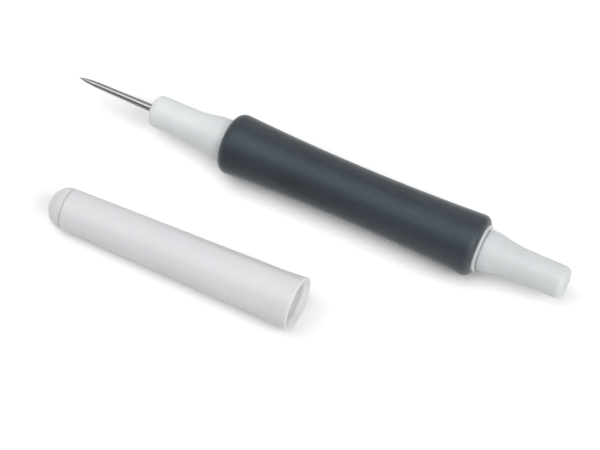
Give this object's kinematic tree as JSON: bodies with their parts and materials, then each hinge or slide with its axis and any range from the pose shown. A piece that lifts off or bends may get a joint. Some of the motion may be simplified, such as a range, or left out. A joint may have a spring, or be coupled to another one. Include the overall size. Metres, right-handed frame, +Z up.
{
  "type": "die pick",
  "caption": "Needle pick for clearing paper out of cutting dies, with a waisted soft grip, a plugged rear end and a long flared cap lying beside it.",
  "frame": {"origin": "on the surface that the set lies on, under the middle of its bounding box", "axes": "+X along the pick from its needle to its rear plug, +Z up, the cap on the -Y side of the pick"},
  "size_m": [0.14, 0.0502, 0.0165],
  "materials": {
    "needle_steel": "polished",
    "nose_plastic": "satin",
    "core_plastic": "satin",
    "grip_soft": "soft matte",
    "plug_plastic": "satin",
    "cap_plastic": "satin",
    "cap_plug_plastic": "satin"
  },
  "bodies": {
    "handle": {"pick_needle": "needle_steel", "nose": "nose_plastic", "core_tube": "core_plastic", "grip_sleeve": "grip_soft", "rear_plug": "plug_plastic"},
    "cap": {"cap_tube": "cap_plastic", "cap_end_plug": "cap_plug_plastic"}
  },
  "joints": [
    {"name": "cap_slide", "type": "slide", "parent": "handle", "child": "cap", "axis": [-1, 0, 0], "range_m": [0, 0.083]}
  ]
}
